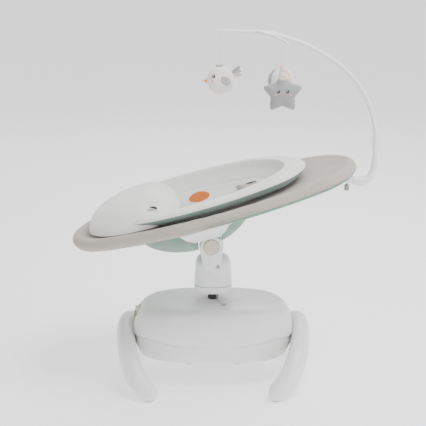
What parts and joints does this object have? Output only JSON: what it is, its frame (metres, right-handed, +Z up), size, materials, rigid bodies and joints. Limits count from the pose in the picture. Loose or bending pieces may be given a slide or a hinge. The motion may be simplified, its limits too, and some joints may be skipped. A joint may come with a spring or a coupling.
{
  "type": "baby swing",
  "caption": "Electric baby swing with an oval reclining fabric seat on a swivelling neck, a domed motor base with two arched legs, and a curved toy bar with hanging toys.",
  "frame": {"origin": "on the floor, under the axis of the swing shaft", "axes": "+Z up, +X towards the foot end of the seat and the toy bar, -Y towards the side with the swivel lock button"},
  "size_m": [0.7874, 0.4204, 0.9108],
  "materials": {
    "base_white": "satin",
    "neck_white": "satin",
    "bar_white": "satin",
    "panel_beige": "matte",
    "cap_beige": "matte",
    "button_grey": "matte",
    "lamp_white": "gloss",
    "rubber_dark": "matte",
    "steel": "brushed",
    "dark_steel": "satin",
    "board_green": "matte",
    "inner_grey": "matte",
    "copper": "satin",
    "cord_grey": "matte",
    "cover_taupe": "woven",
    "pocket_teal": "woven",
    "cushion_white": "soft knit",
    "strap_grey": "webbing",
    "buckle_grey": "matte",
    "buckle_red": "gloss",
    "tag_leather": "grained",
    "knob_dark": "matte",
    "string_white": "braided",
    "toy_white": "plush",
    "toy_grey": "plush",
    "toy_stripe": "printed cotton"
  },
  "bodies": {
    "base": {"base_top_cover": "base_white", "base_bottom_cover": "base_white", "rear_end_leg": "base_white", "control_end_leg": "base_white", "leg_screws": "steel", "foot_pads": "rubber_dark", "control_panel": "panel_beige", "indicator_lamps": "lamp_white", "circuit_board": "board_green", "speaker": "inner_grey", "power_jack": "inner_grey", "bearing_column": "inner_grey", "lower_bearing": "steel", "upper_bearing": "steel", "shaft_gaiter": "rubber_dark", "drive_coil": "copper", "coil_bracket": "steel", "cover_screws": "steel", "seat_cable": "cord_grey"},
    "power_button_body": {"power_button": "button_grey"},
    "speed_button_body": {"speed_button": "button_grey"},
    "timer_button_body": {"timer_button": "button_grey"},
    "music_button_body": {"music_button": "button_grey"},
    "swing_arm": {"swing_shaft": "dark_steel", "lower_collar": "neck_white", "drive_lever": "steel", "lever_pin": "steel", "drive_magnet": "dark_steel", "shaft_circlip": "steel"},
    "neck": {"neck_shell": "neck_white", "hinge_pin": "steel"},
    "front_cap": {"front_recline_cap": "cap_beige"},
    "rear_cap": {"rear_recline_cap": "cap_beige"},
    "lock_button": {"swivel_lock_button": "button_grey"},
    "seat": {"seat_bracket": "neck_white", "head_frame_tube": "steel", "foot_frame_tube": "steel", "frame_screws": "steel", "toy_bar_socket": "bar_white", "bar_pivot_pin": "steel", "seat_cover": "cover_taupe", "seat_pocket": "pocket_teal", "head_pillow": "cushion_white", "insert_cushion": "cushion_white", "harness_buckle": "buckle_grey", "harness_straps": "strap_grey", "leather_tag": "tag_leather"},
    "buckle_release": {"buckle_button": "buckle_red"},
    "toy_bar": {"toy_bar_foot": "bar_white", "toy_bar_arch": "bar_white", "near_toy_arm": "bar_white", "far_toy_arm": "bar_white", "string_caps": "bar_white"},
    "bar_release": {"bar_release_button": "knob_dark"},
    "bird_toy": {"bird_string": "string_white", "bird": "toy_white"},
    "star_toy": {"star_string": "string_white", "star": "toy_grey"},
    "balloon_toy": {"balloon_string": "string_white", "balloon": "toy_stripe"}
  },
  "joints": [
    {"name": "sway", "type": "hinge", "parent": "base", "child": "swing_arm", "pos_m": [0, 0, 0.2], "axis": [0, 0, 1], "range_deg": [-12, 12]},
    {"name": "seat_swivel", "type": "hinge", "parent": "swing_arm", "child": "neck", "pos_m": [0, 0, 0.26], "axis": [0, 0, 1], "range_deg": [-90, 90]},
    {"name": "recline", "type": "hinge", "parent": "neck", "child": "seat", "pos_m": [-0.004, 0, 0.363], "axis": [0, 1, 0], "range_deg": [0, 40]},
    {"name": "toy_bar_tilt", "type": "hinge", "parent": "seat", "child": "toy_bar", "pos_m": [0.345, 0, 0.533], "axis": [0, 1, 0], "range_deg": [0, 60]},
    {"name": "bird_swing", "type": "hinge", "parent": "toy_bar", "child": "bird_toy", "pos_m": [0.0158, 0, 0.9002], "axis": [0, 1, 0], "range_deg": [-25, 25]},
    {"name": "star_swing", "type": "hinge", "parent": "toy_bar", "child": "star_toy", "pos_m": [0.1683, -0.094, 0.8815], "axis": [0, 1, 0], "range_deg": [-25, 25]},
    {"name": "balloon_swing", "type": "hinge", "parent": "toy_bar", "child": "balloon_toy", "pos_m": [0.1763, 0.094, 0.8815], "axis": [0, 1, 0], "range_deg": [-25, 25]},
    {"name": "power_press", "type": "slide", "parent": "base", "child": "power_button_body", "axis": [1, 0, 0], "range_m": [0, 0.001], "stiffness_N_per_m": 400, "springref_m": -0.0005},
    {"name": "speed_press", "type": "slide", "parent": "base", "child": "speed_button_body", "axis": [1, 0, 0], "range_m": [0, 0.001], "stiffness_N_per_m": 400, "springref_m": -0.0005},
    {"name": "timer_press", "type": "slide", "parent": "base", "child": "timer_button_body", "axis": [1, 0, 0], "range_m": [0, 0.001], "stiffness_N_per_m": 400, "springref_m": -0.0005},
    {"name": "music_press", "type": "slide", "parent": "base", "child": "music_button_body", "axis": [1, 0, 0], "range_m": [0, 0.001], "stiffness_N_per_m": 400, "springref_m": -0.0005},
    {"name": "front_cap_press", "type": "slide", "parent": "neck", "child": "front_cap", "axis": [0, 1, 0], "range_m": [0, 0.003], "stiffness_N_per_m": 600, "springref_m": -0.0005},
    {"name": "rear_cap_press", "type": "slide", "parent": "neck", "child": "rear_cap", "axis": [0, -1, 0], "range_m": [0, 0.003], "stiffness_N_per_m": 600, "springref_m": -0.0005},
    {"name": "swivel_lock_press", "type": "slide", "parent": "neck", "child": "lock_button", "axis": [0, 1, 0], "range_m": [0, 0.002], "stiffness_N_per_m": 400, "springref_m": -0.0005},
    {"name": "buckle_press", "type": "slide", "parent": "seat", "child": "buckle_release", "axis": [0.2656, 0, -0.9641], "range_m": [0, 0.002], "stiffness_N_per_m": 400, "springref_m": -0.0005},
    {"name": "bar_release_press", "type": "slide", "parent": "toy_bar", "child": "bar_release", "axis": [0, 0, 1], "range_m": [0, 0.003], "stiffness_N_per_m": 400, "springref_m": -0.0005}
  ]
}
